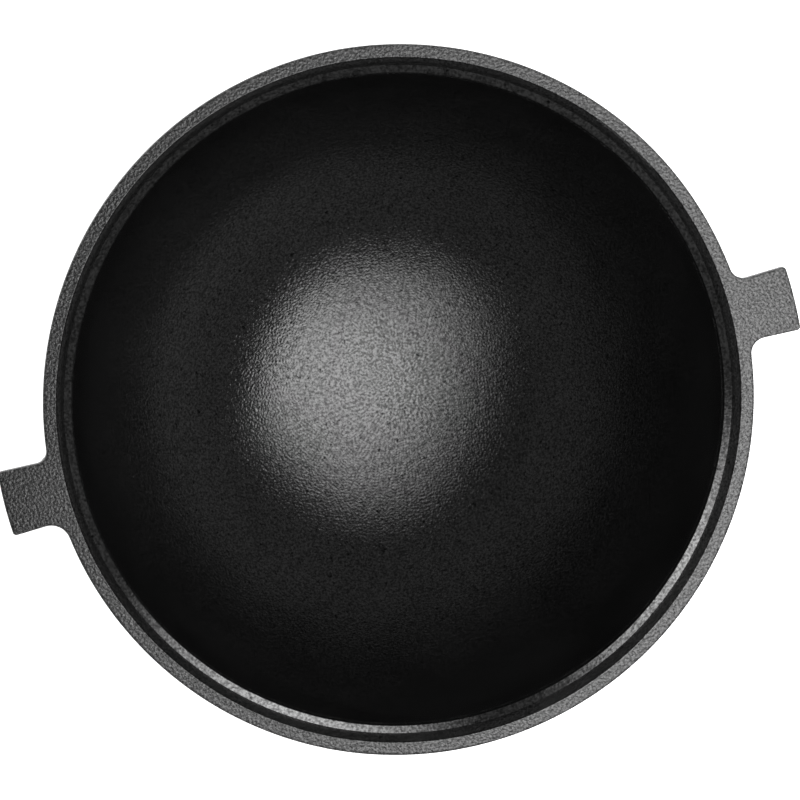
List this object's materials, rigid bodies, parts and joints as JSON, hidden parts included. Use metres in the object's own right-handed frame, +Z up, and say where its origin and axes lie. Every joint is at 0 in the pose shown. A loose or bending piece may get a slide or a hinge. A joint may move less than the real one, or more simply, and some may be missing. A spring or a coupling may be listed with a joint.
{
  "type": "cast iron cauldron",
  "caption": "Open round-bottomed cast iron cauldron with a flat-topped rim, an inner ledge for a lid, flat ears on opposite sides and a low foot ring.",
  "frame": {"origin": "on the ground under the middle of the bowl, at the flat face of the foot ring", "axes": "+Z up out of the mouth, +X towards the middle of the right ear"},
  "size_m": [0.436, 0.38, 0.204],
  "materials": {
    "bowl_iron": "dark seasoned casting skin with a fine orange-peel texture",
    "rim_iron": "dull grey granular casting skin",
    "foot_iron": "dark casting skin, worn smooth where it stands"
  },
  "bodies": {
    "root": {"bowl_bottom": "bowl_iron", "bowl_wall": "bowl_iron", "lid_ledge": "rim_iron", "rim": "rim_iron", "ear_right": "rim_iron", "ear_left": "rim_iron", "foot_ring": "foot_iron", "gate_stub": "foot_iron"}
  },
  "joints": []
}
